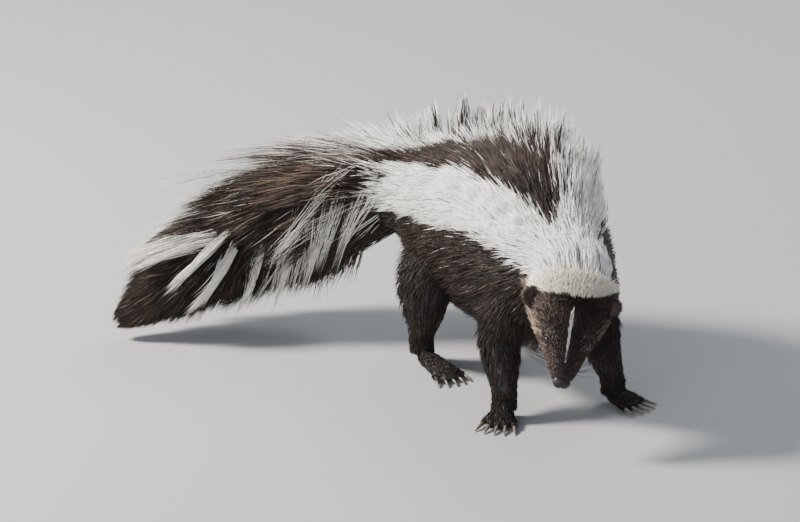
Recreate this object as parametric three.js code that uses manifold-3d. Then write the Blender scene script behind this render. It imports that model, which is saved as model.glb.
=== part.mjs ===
// A striped skunk, life size, walking with its head low and its tail swept out to one side.
// Millimetres, +Z up. The head faces -Y, the tail runs out towards -X, and the soles lie on z = 0.
// One spine runs from the snout to the end of the tail, and each length of it is a solid of its own.
import * as THREE from 'three';
import { mergeVertices } from 'three/addons/utils/BufferGeometryUtils.js';
import Module from 'manifold-3d';

const wasm = await Module();
wasm.setup();

const vector = (x, y, z) => new THREE.Vector3(x, y, z);
const radians = THREE.MathUtils.degToRad;
const UP = vector(0, 0, 1);

// Driving dimensions
const GAP = 0.3;
const NOSE_TIP = vector(59, -141, 57);
const HEAD_LENGTH = 80;
const HEAD_PITCH = 50;
const HEAD_YAW = 11;
// The head is rolled towards its left by this share of a turn
const HEAD_ROLL = 0.04;
const NOSE_LENGTH = 6;
const EYE_RADIUS = 4.1;
const EYE_BULGE = 1.5;
const EAR = { wide: 8.5, thick: 4.2, high: 10, wall: 1.6 };
const CREST = 1.5;
const TOE_COUNT = 5;

// The way the face points
const FACING = vector(
  -Math.sin(radians(HEAD_YAW)) * Math.cos(radians(HEAD_PITCH)),
  -Math.cos(radians(HEAD_YAW)) * Math.cos(radians(HEAD_PITCH)),
  -Math.sin(radians(HEAD_PITCH)),
);
const behindNose = (distance) => NOSE_TIP.clone().addScaledVector(FACING, -distance);

// A closed geometry as a manifold solid, turned right side out
function solidOf(geometry) {
  const bare = new THREE.BufferGeometry();
  bare.setAttribute('position', geometry.getAttribute('position').clone());
  if (geometry.index) bare.setIndex(geometry.index.clone());
  const merged = mergeVertices(bare, 1e-3);
  const place = merged.attributes.position.array;
  const corners = merged.index.array;
  const triVerts = [];
  let volume = 0;
  const [a, b, c] = [vector(0, 0, 0), vector(0, 0, 0), vector(0, 0, 0)];
  for (let i = 0; i < corners.length; i += 3) {
    const [p, q, r] = corners.slice(i, i + 3);
    if (p === q || q === r || r === p) continue;
    triVerts.push(p, q, r);
    b.fromArray(place, 3 * q).cross(c.fromArray(place, 3 * r));
    volume += a.fromArray(place, 3 * p).dot(b);
  }
  if (volume < 0) triVerts.reverse();
  return new wasm.Manifold(new wasm.Mesh({
    numProp: 3,
    vertProperties: new Float32Array(place),
    triVerts: new Uint32Array(triVerts),
  }));
}

const union = (solids) => wasm.Manifold.union(solids);

// The largest closed surface of a solid, as a named mesh
function meshOf(name, solid, material) {
  const pieces = solid.decompose();
  const kept = pieces.reduce((best, piece) => (piece.volume() > best.volume() ? piece : best));
  const made = kept.getMesh();
  const place = new Float32Array(made.numVert * 3);
  for (let i = 0; i < made.numVert; i += 1) {
    place.set(made.vertProperties.subarray(i * made.numProp, i * made.numProp + 3), i * 3);
  }
  const geometry = new THREE.BufferGeometry();
  geometry.setAttribute('position', new THREE.BufferAttribute(place, 3));
  geometry.setIndex(new THREE.BufferAttribute(new Uint32Array(made.triVerts), 1));
  const mesh = new THREE.Mesh(geometry, material);
  mesh.name = name;
  return mesh;
}

// A form is a row of rings along a smooth path. Each station gives a ring's centre, its half width,
// its height above and depth below the centre, the coat's depth over it, how square it is, and the
// level of its widest line, and its roll about the path in turns. The coat stands deeper on top, by
// CREST. across is the sideways direction of a path that runs up and down.
class Form {
  constructor(stations, across = null) {
    const curve = (pick) => new THREE.CatmullRomCurve3(stations.map(pick), false, 'catmullrom', 0.5);
    this.path = curve((s) => s.at);
    this.size = curve((s) => vector(s.wide, s.high, s.deep));
    this.kind = curve((s) => vector(s.coat ?? 0, s.square ?? 2.1, s.level ?? 0));
    this.roll = curve((s) => vector(s.roll ?? 0, 0, 0));
    this.across = across;
    this.last = stations.length - 1;
  }

  ring(t) {
    const center = this.path.getPoint(t);
    const back = this.path.getTangent(t);
    const side = this.across ? this.across.clone() : back.clone().cross(UP);
    side.addScaledVector(back, -side.dot(back)).normalize();
    side.applyAxisAngle(back, 2 * Math.PI * this.roll.getPoint(t).x);
    const over = side.clone().cross(back).normalize();
    return { center, back, side, over };
  }

  // A point on the surface. turn runs from 0 at the top over the left side and round to 1, and
  // cover is the share of the coat's depth that is added to the skin.
  point(t, turn, cover = 0, grow = 0) {
    const { center, side, over } = this.ring(t);
    const { x: wide, y: high, z: deep } = this.size.getPoint(t);
    const { x: coat, y: square, z: level } = this.kind.getPoint(t);
    const more = coat * cover + grow;
    const angle = 2 * Math.PI * turn;
    const onTop = coat * cover * CREST + grow;
    const bend = (value) => Math.sign(value) * Math.abs(value) ** (2 / square);
    const rise = Math.cos(angle) > 0 ? high + onTop - level : deep + more + level;
    return center
      .addScaledVector(side, (wide + more) * bend(Math.sin(angle)))
      .addScaledVector(over, level + rise * bend(Math.cos(angle)));
  }

  // The share of t that covers a distance along the path
  stretch(t, distance) {
    const step = 1e-3;
    const near = this.path.getPoint(Math.max(0, t - step));
    const far = this.path.getPoint(Math.min(1, t + step));
    return (distance * (Math.min(1, t + step) - Math.max(0, t - step))) / near.distanceTo(far);
  }

  // The closed solid between two places on the path. The ends are flat, or rounded over a share of it.
  solid({ from = 0, to = 1, around = 16, along = 8, cover = 1, grow = 0, roundFrom = 0, roundTo = 0 }) {
    const geometry = new THREE.SphereGeometry(1, around, along + 2);
    const place = geometry.attributes.position;
    const uv = geometry.attributes.uv;
    const swell = (distance, reach) => (distance >= reach ? 1 : Math.sqrt(1 - (1 - distance / reach) ** 2));
    const first = 0.03;
    for (let i = 0; i < place.count; i += 1) {
      const row = Math.round((1 - uv.getY(i)) * (along + 2));
      const share = THREE.MathUtils.clamp((row - 1) / along, 0, 1);
      const t = from + (to - from) * share;
      const { center, back } = this.ring(t);
      const spot = center.clone();
      if (row > 0 && row < along + 2) {
        const turn = (Math.round(uv.getX(i) * around) % around) / around;
        const closing = swell(share + first, roundFrom) * swell(1 - share + first, roundTo);
        spot.lerp(this.point(t, turn, cover, grow), closing);
      }
      if (share === 0) spot.addScaledVector(back, -grow);
      if (share === 1) spot.addScaledVector(back, grow);
      place.setXYZ(i, spot.x, spot.y, spot.z);
    }
    return solidOf(geometry);
  }

  // A point on the surface with the directions that a lock or a lid is set by
  spot(t, turn, cover = 0) {
    const step = 0.002;
    const point = this.point(t, turn, cover);
    const back = this.point(t + step, turn, cover).sub(this.point(t - step, turn, cover)).normalize();
    const round = this.point(t, turn + step, cover).sub(this.point(t, turn - step, cover)).normalize();
    const out = round.clone().cross(back).normalize();
    if (out.dot(point.clone().sub(this.path.getPoint(t))) < 0) out.negate();
    return { point, back, round, out };
  }
}

// A tube or bar with a section of few sides along a curve
function barAlong(points, halfWidth, halfHeight, steps) {
  const shape = new THREE.Shape([[1, 0], [0, 1], [-1, 0], [0, -1]]
    .map(([x, y]) => new THREE.Vector2(x * halfWidth, y * halfHeight)));
  const extrudePath = new THREE.CatmullRomCurve3(points);
  return solidOf(new THREE.ExtrudeGeometry(shape, { steps, bevelEnabled: false, extrudePath }));
}

// A round geometry set at a place, with its own x, y and z laid along three directions
function placed(geometry, at, x, y, z) {
  return solidOf(geometry.applyMatrix4(new THREE.Matrix4().makeBasis(x, y, z).setPosition(at)));
}

// A fixed series of numbers between 0 and 1, so that every build gives the same coat
function numbersFrom(seed) {
  let state = seed;
  return () => {
    state = (state * 1664525 + 1013904223) % 4294967296;
    return state / 4294967296;
  };
}

// One flat, tapered lock of hair from a root inside the core to its tip. It leaves along out and
// bows over towards the tip, side is the direction of its width, and a ridge runs down its back.
const LOCK_WIDTHS = [0.75, 1, 0.72, 0];
function lockSolid({ root, tip, out, side, wide, thick }) {
  const reach = root.distanceTo(tip);
  const knee = root.clone().lerp(tip, 0.4).addScaledVector(out, 0.16 * reach);
  const bow = new THREE.QuadraticBezierCurve3(root, knee, tip);
  const geometry = new THREE.ConeGeometry(1, 1, 3, LOCK_WIDTHS.length - 1);
  const place = geometry.attributes.position;
  for (let i = 0; i < place.count; i += 1) {
    const share = place.getY(i) + 0.5;
    const taper = Math.max(1 - share, 1e-6);
    const swell = LOCK_WIDTHS[Math.round(share * (LOCK_WIDTHS.length - 1))];
    const along = bow.getTangent(share);
    const across = side.clone().addScaledVector(along, -side.dot(along)).normalize();
    const ridge = across.clone().cross(along);
    if (ridge.dot(out) < 0) ridge.negate();
    const spot = bow.getPoint(share)
      .addScaledVector(across, (place.getX(i) / taper) * swell * wide * 0.58)
      .addScaledVector(ridge, (place.getZ(i) / taper) * swell * thick * 0.67);
    place.setXYZ(i, spot.x, spot.y, spot.z);
  }
  return solidOf(geometry);
}

// Colours of the coat, skin and claws
const coatMaterial = (color) => new THREE.MeshStandardMaterial({ color, roughness: 0.85, metalness: 0 });
const blackCoat = coatMaterial(0x241a17);
const whiteCoat = coatMaterial(0xf2eee8);
const noseSkin = new THREE.MeshStandardMaterial({ color: 0x1c181a, roughness: 0.35, metalness: 0 });
const eyeGloss = new THREE.MeshStandardMaterial({ color: 0x0c0807, roughness: 0.05, metalness: 0 });
const clawHorn = new THREE.MeshStandardMaterial({ color: 0x4b4038, roughness: 0.4, metalness: 0 });

// Spine, from the front of the snout to the end of the tail
const headStation = (distance, wide, high, deep, level = 0, coat = 1.5) => (
  { at: behindNose(distance), wide, high, deep, level, coat, square: 2.2, roll: HEAD_ROLL }
);
const spineStations = [
  headStation(NOSE_LENGTH, 7, 5.5, 5.5, 0, 1),
  headStation(14, 10.5, 8.5, 8.5),
  headStation(24, 14, 11, 11, -1),
  headStation(36, 19.5, 15.5, 14, -3),
  headStation(48, 25, 20.5, 16.5, -3),
  headStation(62, 28.5, 23, 19, -3, 2.5),
  headStation(HEAD_LENGTH, 27, 22, 22, -1, 6),
  { at: vector(66, -66, 119), wide: 27, high: 22, deep: 27, coat: 10 },
  { at: vector(58, -32, 106), wide: 36, high: 36, deep: 45, coat: 17 },
  { at: vector(45, 6, 104), wide: 40, high: 49, deep: 49, coat: 20 },
  { at: vector(26, 44, 108), wide: 44, high: 53, deep: 50, coat: 22 },
  { at: vector(0, 80, 112), wide: 45, high: 46, deep: 47, coat: 22 },
  { at: vector(-28, 108, 118), wide: 34, high: 28, deep: 34, coat: 22 },
  { at: vector(-52, 126, 121), wide: 15, high: 13, deep: 14, coat: 24 },
  { at: vector(-78, 137, 123), wide: 9.5, high: 9, deep: 9, coat: 24 },
  { at: vector(-112, 142, 119), wide: 8.5, high: 8.5, deep: 8.5, coat: 24 },
  { at: vector(-154, 142, 104), wide: 8, high: 8, deep: 8, coat: 24 },
  { at: vector(-196, 135, 80), wide: 7, high: 7, deep: 7, coat: 24 },
  { at: vector(-232, 125, 54), wide: 6, high: 6, deep: 6, coat: 20 },
  { at: vector(-258, 117, 34), wide: 4, high: 4, deep: 4, coat: 12 },
];
const spine = new Form(spineStations);
const HEAD_END = 6;
const NECK_END = 7.7;
const TORSO_END = 13;
const JOINT_OVERRUN = 0.12;

// One length of a form between two of its stations, half a gap short at each joint
function lengthOf(form, start, end, options) {
  const [from, to] = [start / form.last, end / form.last];
  return form.solid({
    ...options,
    from: start > 0 ? from + form.stretch(from, GAP / 2) : from,
    to: end < form.last ? to - form.stretch(to, GAP / 2) : to,
  });
}

// Long coat of the trunk. Rows of locks run round the body, each row set between those of the last.
// A lock's tip lies further back and, on the flanks, lower than its root. The crest on the left of
// the back stands up.
const CORE_COVER = 0.4;
const ROOT_COVER = 0.1;
const TRUNK = { rows: 7, wide: 29, thick: 9, length: 54, spacing: 34, bareFrom: 0.41, bareTo: 0.59 };
const NAPE = { rows: 3, wide: 19, thick: 6, length: 25, spacing: 25, bareFrom: 0.36, bareTo: 0.64 };
const CREST_TURNS = [0.055, 0.115];
const CREST_LOCK = { wide: 16, thick: 7, length: 30, perRow: 11 };

function trunkLocks(start, end, coat, seed) {
  const random = numbersFrom(seed);
  const locks = [];
  for (let row = 0; row < coat.rows; row += 1) {
    const t = (start + ((end - start) * (row + 0.4)) / coat.rows) / spine.last;
    const size = spine.size.getPoint(t);
    const girth = 2 * Math.PI * ((size.x + size.y) / 2 + 10);
    const count = Math.max(6, Math.round(girth / coat.spacing));
    for (let place = 0; place < count; place += 1) {
      const turn = ((place + 0.5 * (row % 2) + 0.35 * (random() - 0.5)) / count + 1) % 1;
      const [ahead, spread, rise] = [random(), random(), random()];
      if (turn > coat.bareFrom && turn < coat.bareTo) continue;
      const { round, out } = spine.spot(t, turn, ROOT_COVER);
      const reach = spine.stretch(t, coat.length * (0.9 + 0.3 * ahead));
      const sink = 0.055 * Math.sin(2 * Math.PI * turn) + 0.03 * (spread - 0.5);
      const cover = 0.8 + 0.25 * rise;
      locks.push(lockSolid({
        root: spine.point(t, turn, ROOT_COVER),
        tip: spine.point(Math.min(t + reach, 0.999), turn + sink, cover),
        out,
        side: round,
        wide: coat.wide * (0.85 + 0.3 * spread),
        thick: coat.thick,
      }));
    }
  }
  return locks;
}

// The crest: upright locks in close rows along the left of the back
function crestLocks(start, end, seed) {
  const random = numbersFrom(seed);
  return CREST_TURNS.flatMap((line, row) => Array.from({ length: CREST_LOCK.perRow }, (_, index) => {
    const t = (start + ((end - start) * (index + 0.5 * row + 0.4 * random())) / CREST_LOCK.perRow) / spine.last;
    const turn = line + 0.03 * (random() - 0.5);
    const [ahead, spread, rise] = [random(), random(), random()];
    const { round, out } = spine.spot(t, turn, ROOT_COVER);
    const reach = spine.stretch(t, CREST_LOCK.length * (0.6 + 0.7 * ahead));
    return lockSolid({
      root: spine.point(t, turn, ROOT_COVER),
      tip: spine.point(Math.min(t + reach, 0.999), turn + 0.03 * (spread - 0.5), 1.3 + 0.3 * rise),
      out,
      side: round,
      wide: CREST_LOCK.wide * (0.85 + 0.3 * spread),
      thick: CREST_LOCK.thick,
    });
  }));
}

// Keep what lies behind, or in front of, the flat joint at a station, half a gap clear of it
function trimmed(solid, form, station, behind) {
  const { center, back } = form.ring(station / form.last);
  const normal = behind ? back : back.clone().negate();
  return solid.trimByPlane(normal.toArray(), normal.dot(center) + GAP / 2);
}

// Head
const EYE_STATION = 2.7;
const EYE_TURN = 0.15;

function eyeSpot(turn) {
  const { point, out, back, round } = spine.spot(EYE_STATION / spine.last, turn, 1);
  return { center: point.clone().addScaledVector(out, EYE_BULGE - EYE_RADIUS), point, out, back, round };
}

const eyeBall = (spot, grow = 0) => placed(
  new THREE.SphereGeometry(EYE_RADIUS + grow, 12, 8), spot.center, spot.round, spot.back, spot.out,
);

// A ring of skin round the eye, longer than it is high
function lids(spot) {
  const ring = new THREE.TorusGeometry(3.7, 1.15, 5, 12);
  ring.scale(0.95, 1.15, 1);
  const at = spot.point.clone().addScaledVector(spot.out, 0.1);
  return placed(ring, at, spot.round, spot.back, spot.out);
}

// The line of the mouth from one corner round the front to the other, lifted off the surface
function mouthLine(lift, rise) {
  const side = [[3.1, 0.33], [2.3, 0.345], [1.4, 0.36], [0.8, 0.375], [0.4, 0.42]];
  const on = ([station, turn], mirror) => {
    const wanted = turn - rise;
    const { point, out } = spine.spot(station / spine.last, mirror ? 1 - wanted : wanted, 1);
    return point.addScaledVector(out, lift);
  };
  return [...side.map((s) => on(s, false)), ...side.reverse().map((s) => on(s, true))];
}

const HEAD_SAMPLING = { around: 18, along: 11 };
const headLoft = (grow) => spine.solid({ ...HEAD_SAMPLING, to: (HEAD_END + JOINT_OVERRUN) / spine.last, grow });

function headSolid(eyes) {
  const skull = headLoft(0);
  const lips = barAlong(mouthLine(-0.3, 0.022), 1.3, 1.3, 10);
  const fused = union([skull, lips, ...eyes.map(lids)]);
  const cut = union([barAlong(mouthLine(0.2, 0), 0.7, 1.5, 10), ...eyes.map((e) => eyeBall(e, GAP))]);
  return trimmed(fused.subtract(cut), spine, HEAD_END, false);
}

// Nose pad, a little wider than the snout behind it, with two nostrils
function noseSolid() {
  const { side } = spine.ring(0);
  const at = (distance, rise) => behindNose(distance).addScaledVector(side.clone().cross(FACING), -rise);
  const pad = new Form([
    { at: at(NOSE_LENGTH - GAP, 0), wide: 7.2, high: 5.8, deep: 4.6 },
    { at: at(3, 0), wide: 7.6, high: 5.9, deep: 4.6 },
    { at: at(-0.5, 0.6), wide: 6.2, high: 4.8, deep: 4 },
  ], side);
  const body = pad.solid({ around: 14, along: 5, roundTo: 0.45, cover: 0 });
  const nostrils = [1, -1].map((hand) => {
    const hole = new THREE.SphereGeometry(1, 7, 5);
    hole.scale(1.5, 1.1, 3);
    const mouth = at(-0.3, 0.4).addScaledVector(side, hand * 3.4);
    const aim = FACING.clone().addScaledVector(side, hand * 0.5).normalize();
    const across = aim.clone().cross(UP).normalize();
    return placed(hole, mouth, across, aim.clone().cross(across), aim);
  });
  return body.subtract(union(nostrils));
}

// A rounded ear with its cup open to the front and side
function earSolid(hand, headHalo) {
  const EAR_STATION = 5.1;
  const EAR_TURN = 0.17;
  const { point, out } = spine.spot(EAR_STATION / spine.last, hand > 0 ? EAR_TURN : 1 - EAR_TURN, 1);
  const { over, side } = spine.ring(EAR_STATION / spine.last);
  const rise = out.clone().addScaledVector(FACING, -1.1).normalize();
  const open = FACING.clone().addScaledVector(over, 1.1).addScaledVector(side, 0.35 * hand);
  open.addScaledVector(rise, -open.dot(rise)).normalize();
  const across = open.clone().cross(rise).normalize();
  const shell = new THREE.SphereGeometry(1, 12, 8).scale(EAR.wide, EAR.thick, EAR.high);
  const cup = new THREE.SphereGeometry(1, 10, 7)
    .scale(EAR.wide - EAR.wall, EAR.thick, EAR.high - EAR.wall);
  const base = point.clone().addScaledVector(rise, 0.4);
  const inner = base.clone().addScaledVector(open, 2.4).addScaledVector(rise, 0.6);
  return placed(shell, base, across, open, rise)
    .subtract(placed(cup, inner, across, open, rise))
    .subtract(headHalo);
}

// Legs. wide is measured sideways, high to the rear and deep to the front of the leg.
const leg = (at, wide, high, deep, coat = 3) => ({ at, wide, high, deep, coat });
const LEGS = {
  front_right: {
    heading: -104,
    stations: [
      leg(vector(34, -34, 96), 13, 20, 18), leg(vector(22, -42, 78), 16, 20, 17),
      leg(vector(15, -44, 60), 15, 17, 15), leg(vector(16, -53, 42), 12, 12, 11),
      leg(vector(18, -62, 24), 9, 8, 8), leg(vector(18.5, -65, 8), 9, 7, 8, 2),
    ],
    ankle: 4.2,
    foot: { heel: vector(19.5, -59, 8), length: 23, wide: 11.5, high: 8, claw: 11, clawThick: 1.5 },
  },
  front_left: {
    heading: -36,
    stations: [
      leg(vector(72, -18, 96), 13, 20, 18), leg(vector(86, -20, 76), 15, 19, 16),
      leg(vector(93, -22, 58), 14, 16, 14), leg(vector(98, -27, 40), 11, 12, 11),
      leg(vector(103, -30, 24), 9, 8, 8), leg(vector(104, -31, 8), 9, 7, 8, 2),
    ],
    ankle: 4.2,
    foot: { heel: vector(99, -27, 8), length: 23, wide: 11.5, high: 8, claw: 11, clawThick: 1.5 },
  },
  hind_right: {
    heading: -62,
    stations: [
      leg(vector(-22, 66, 104), 15, 26, 24), leg(vector(-36, 54, 84), 19, 27, 24),
      leg(vector(-42, 46, 62), 17, 22, 19), leg(vector(-43, 50, 42), 13, 15, 14),
      leg(vector(-45, 56, 24), 9, 9, 9), leg(vector(-45, 56, 9), 9, 8, 9, 2),
    ],
    ankle: 4.2,
    foot: { heel: vector(-47, 60, 8), length: 54, wide: 11.5, high: 8, claw: 7, clawThick: 1.2 },
  },
  hind_left: {
    heading: -58,
    stations: [
      leg(vector(22, 98, 102), 15, 26, 24), leg(vector(34, 104, 82), 19, 27, 24),
      leg(vector(38, 108, 62), 17, 22, 19), leg(vector(34, 118, 42), 13, 15, 14),
      leg(vector(27, 130, 24), 9, 9, 9), leg(vector(25, 132, 9), 9, 8, 9, 2),
    ],
    ankle: 4.2,
    foot: { heel: vector(24, 136, 8), length: 54, wide: 11.5, high: 8, claw: 7, clawThick: 1.2 },
  },
};

const headingVector = (heading) => vector(Math.cos(radians(heading)), Math.sin(radians(heading)), 0);

function footForm({ heel, length, wide, high }, heading) {
  const ahead = headingVector(heading);
  const at = (share, z) => heel.clone().addScaledVector(ahead, length * share).setZ(z);
  return new Form([
    { at: at(0, 7), wide: wide * 0.72, high: high * 0.9, deep: 8 },
    { at: at(0.45, 7), wide: wide * 0.86, high: high * 0.95, deep: 8 },
    { at: at(0.8, 6), wide, high: high * 0.8, deep: 7 },
    { at: at(1, 5), wide: wide * 0.95, high: high * 0.6, deep: 6 },
  ], ahead.clone().cross(UP).negate());
}

// Where each toe starts and the way it points, fanned about the foot's heading
function toes({ heel, length, wide }, heading) {
  return Array.from({ length: TOE_COUNT }, (_, index) => {
    const share = index / (TOE_COUNT - 1) - 0.5;
    const aim = headingVector(heading - 34 * share);
    const side = headingVector(heading - 90);
    const reach = length * 0.86 - 14 * share * share;
    const root = heel.clone().addScaledVector(headingVector(heading), reach)
      .addScaledVector(side, 2 * wide * 0.84 * share).setZ(4.8);
    return { root, aim, side: aim.clone().cross(UP) };
  });
}

const TOE_LENGTH = 11;
const TOE_DROP = 0.24;
const toePoint = ({ root, aim }, ahead, z) => root.clone().addScaledVector(aim, ahead).setZ(z);

// A toe ends in a flat face, and the claw goes on from it along the same line
function toeSolid(toe) {
  return new Form([
    { at: toePoint(toe, 0, 4.8), wide: 3, high: 3, deep: 4.5 },
    { at: toePoint(toe, 6, 3.4 + TOE_DROP * 5), wide: 3.1, high: 3.2, deep: 4.4 },
    { at: toePoint(toe, TOE_LENGTH, 3.4), wide: 2.3, high: 2.3, deep: 3 },
  ], toe.side).solid({ around: 5, along: 2 });
}

function clawSolid(toe, clawLength, thick) {
  const bend = clawLength * 0.5;
  return new Form([
    { at: toePoint(toe, TOE_LENGTH + GAP, 3.4 - TOE_DROP * GAP), wide: thick, high: thick * 1.3, deep: thick * 1.2 },
    {
      at: toePoint(toe, TOE_LENGTH + GAP + bend, 3.4 - TOE_DROP * (GAP + bend)),
      wide: thick * 0.8, high: thick, deep: thick,
    },
    { at: toePoint(toe, TOE_LENGTH + clawLength, 0.6), wide: 0.3, high: 0.3, deep: 0.3 },
  ], toe.side).solid({ around: 5, along: 2 });
}

const limbForm = ({ heading, stations }) => new Form(stations, headingVector(heading + 90));
const limbOf = (name, grow) => lengthOf(
  limbForm(LEGS[name]), 0, LEGS[name].ankle, { around: 12, along: 7, grow },
);

function legParts(name, torsoHalo) {
  const { heading, ankle, foot } = LEGS[name];
  const limb = limbForm(LEGS[name]);
  const upper = limbOf(name, 0).subtract(torsoHalo);
  const ankleStub = lengthOf(limb, ankle, limb.last, { around: 9, along: 1 });
  const sole = footForm(foot, heading).solid({ around: 9, along: 5, roundFrom: 0.3, roundTo: 0.2 });
  const digits = toes(foot, heading);
  const paw = union([ankleStub, sole, ...digits.map(toeSolid)]).trimByPlane([0, 0, 1], 0);
  return [
    meshOf(`${name}_leg`, upper, blackCoat),
    meshOf(`${name}_paw`, paw, blackCoat),
    ...digits.map((digit, index) => meshOf(
      `${name}_claw_${index + 1}`, clawSolid(digit, foot.claw, foot.clawThick), clawHorn,
    )),
  ];
}

// Tail. The plume is the surface that the tips of its hair reach, and its locks start on the core.
const plumeSizes = [
  [53, 48, 54], [39, 39, 38], [41, 42, 46], [43, 42, 66], [45, 44, 80],
  [43, 50, 70], [36, 48, 50], [27, 38, 28], [14, 20, 14], [3, 4, 3],
];
const PLUME_START = 12;
const plumePath = [
  ...spineStations.slice(PLUME_START).map((s) => s.at), vector(-280, 111, 20), vector(-296, 108, 12),
];
const plume = new Form(plumePath.map((at, i) => (
  { at, wide: plumeSizes[i][0], high: plumeSizes[i][1], deep: plumeSizes[i][2] }
)));
const TAIL_ROWS = 10;
const TAIL_LOCK = { wide: 27, thick: 9, length: 76, perRow: 7 };
const FLOOR_CLEARANCE = 1.4;

function tailLocks(seed) {
  const random = numbersFrom(seed);
  const locks = [];
  for (let row = 0; row < TAIL_ROWS; row += 1) {
    const station = TORSO_END + 0.1 + ((spine.last - TORSO_END - 0.25) * row) / (TAIL_ROWS - 1);
    const t = station / spine.last;
    for (let place = 0; place < TAIL_LOCK.perRow; place += 1) {
      const turn = (place + 0.5 * (row % 2) + 0.4 * (random() - 0.5)) / TAIL_LOCK.perRow;
      const [ahead, spread, rise] = [random(), random(), random()];
      const { round, out } = spine.spot(t, turn, 0);
      const from = (station - PLUME_START) / plume.last;
      const reach = plume.stretch(from, TAIL_LOCK.length * (0.45 + 0.75 * ahead));
      const tipAt = Math.min(from + reach, 0.93 + 0.07 * ahead);
      const tip = plume.point(tipAt, turn + 0.04 * (spread - 0.5), 0, -6 * rise);
      tip.z = Math.max(tip.z, FLOOR_CLEARANCE);
      locks.push(lockSolid({
        root: spine.point(t, turn, -0.1),
        tip,
        out,
        side: round,
        wide: TAIL_LOCK.wide * (0.8 + 0.4 * spread),
        thick: TAIL_LOCK.thick,
      }));
    }
  }
  return locks;
}

// Assembly
const skunk = new THREE.Group();
const eyes = { left: eyeSpot(EYE_TURN), right: eyeSpot(1 - EYE_TURN) };
const headHalo = headLoft(GAP);
const trunkOptions = { around: 20, cover: CORE_COVER };
const trunkLoft = (start, end, along, grow) => spine.solid({
  ...trunkOptions, from: (start - JOINT_OVERRUN) / spine.last, to: (end + JOINT_OVERRUN) / spine.last, along, grow,
});
const neckLoft = (grow) => trunkLoft(HEAD_END, NECK_END, 4, grow);
const torsoLoft = (grow) => trunkLoft(NECK_END, TORSO_END, 9, grow);
const coreHalo = union([neckLoft(GAP), torsoLoft(GAP)]);
const napeHair = union(trunkLocks(HEAD_END + 0.1, NECK_END, NAPE, 11)).subtract(headHalo);
const trunkHair = union([
  ...trunkLocks(NECK_END, TORSO_END, TRUNK, 23), ...crestLocks(NECK_END, TORSO_END - 0.5, 29),
]);
const legHalo = union(Object.keys(LEGS).map((name) => limbOf(name, GAP)));

const neck = trimmed(
  trimmed(union([neckLoft(0), napeHair]), spine, HEAD_END, true),
  spine, NECK_END, false,
);
const torsoHair = union([napeHair, trunkHair]).subtract(legHalo);
const torso = trimmed(
  trimmed(union([torsoLoft(0), torsoHair]), spine, NECK_END, true),
  spine, TORSO_END, false,
);
const tailCore = spine.solid({
  from: (TORSO_END - JOINT_OVERRUN) / spine.last, cover: CORE_COVER, around: 10, along: 9, roundTo: 0.1,
});
const tail = trimmed(union([tailCore, trunkHair, ...tailLocks(37)]), spine, TORSO_END, true)
  .trimByPlane([0, 0, 1], 0);

skunk.add(
  meshOf('head', headSolid(Object.values(eyes)), blackCoat),
  meshOf('nose', noseSolid(), noseSkin),
  meshOf('eye_left', eyeBall(eyes.left), eyeGloss),
  meshOf('eye_right', eyeBall(eyes.right), eyeGloss),
  meshOf('ear_left', earSolid(1, headHalo), blackCoat),
  meshOf('ear_right', earSolid(-1, headHalo), blackCoat),
  meshOf('neck', neck, whiteCoat),
  meshOf('torso', torso, blackCoat),
  meshOf('tail', tail, blackCoat),
  ...Object.keys(LEGS).flatMap((name) => legParts(name, coreHalo)),
);

// The origin is on the floor under the middle of the whole
skunk.updateMatrixWorld(true);
const middle = new THREE.Box3().setFromObject(skunk, true).getCenter(vector(0, 0, 0));
skunk.children.forEach((mesh) => mesh.geometry.translate(-middle.x, -middle.y, 0));

export default skunk;
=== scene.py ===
# Striped skunk, life size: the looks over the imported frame.
# Lengths are written in millimetres in the design's own axes and turned to metres as meshes are made.
import math

import bmesh
import bpy
import numpy as np
from mathutils import Matrix, Vector
from mathutils.kdtree import KDTree


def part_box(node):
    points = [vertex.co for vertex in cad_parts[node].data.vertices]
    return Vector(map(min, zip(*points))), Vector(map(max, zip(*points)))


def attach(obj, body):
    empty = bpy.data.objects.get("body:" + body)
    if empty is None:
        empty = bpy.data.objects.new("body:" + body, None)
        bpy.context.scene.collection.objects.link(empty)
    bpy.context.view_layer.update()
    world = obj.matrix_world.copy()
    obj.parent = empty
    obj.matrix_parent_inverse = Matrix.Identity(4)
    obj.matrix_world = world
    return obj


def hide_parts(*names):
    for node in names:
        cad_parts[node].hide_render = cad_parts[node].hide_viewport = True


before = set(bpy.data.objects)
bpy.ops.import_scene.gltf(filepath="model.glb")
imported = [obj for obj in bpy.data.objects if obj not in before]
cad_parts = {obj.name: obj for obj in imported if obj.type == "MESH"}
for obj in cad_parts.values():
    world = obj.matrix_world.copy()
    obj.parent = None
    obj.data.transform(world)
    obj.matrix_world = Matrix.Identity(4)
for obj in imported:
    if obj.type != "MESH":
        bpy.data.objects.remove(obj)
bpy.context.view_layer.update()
RANDOM = np.random.default_rng(41)

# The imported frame's origin is under the middle of the model. The design's origin is found from a paw.
PAW_IN_DESIGN = np.array([110.3375, -36.6865])
paw_low, paw_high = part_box("front_left_paw")
SHIFT = np.array([
    (paw_low.x + paw_high.x) * 500 - PAW_IN_DESIGN[0],
    (paw_low.y + paw_high.y) * 500 - PAW_IN_DESIGN[1],
    0.0,
])


def metres(points):
    return (np.asarray(points, float) + SHIFT) / 1000


# ---- The forms that the body is built on ----
NOSE_TIP = np.array([59.0, -141.0, 57.0])
PITCH, YAW = math.radians(50), math.radians(11)
FACING = np.array([
    -math.sin(YAW) * math.cos(PITCH), -math.cos(YAW) * math.cos(PITCH), -math.sin(PITCH),
])
HEAD_ROLL = 0.04
CREST = 1.5


def head_station(behind, wide, high, deep, level=0.0, coat=1.5):
    return (*(NOSE_TIP - FACING * behind), wide, high, deep, coat, 2.2, level, HEAD_ROLL)


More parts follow.
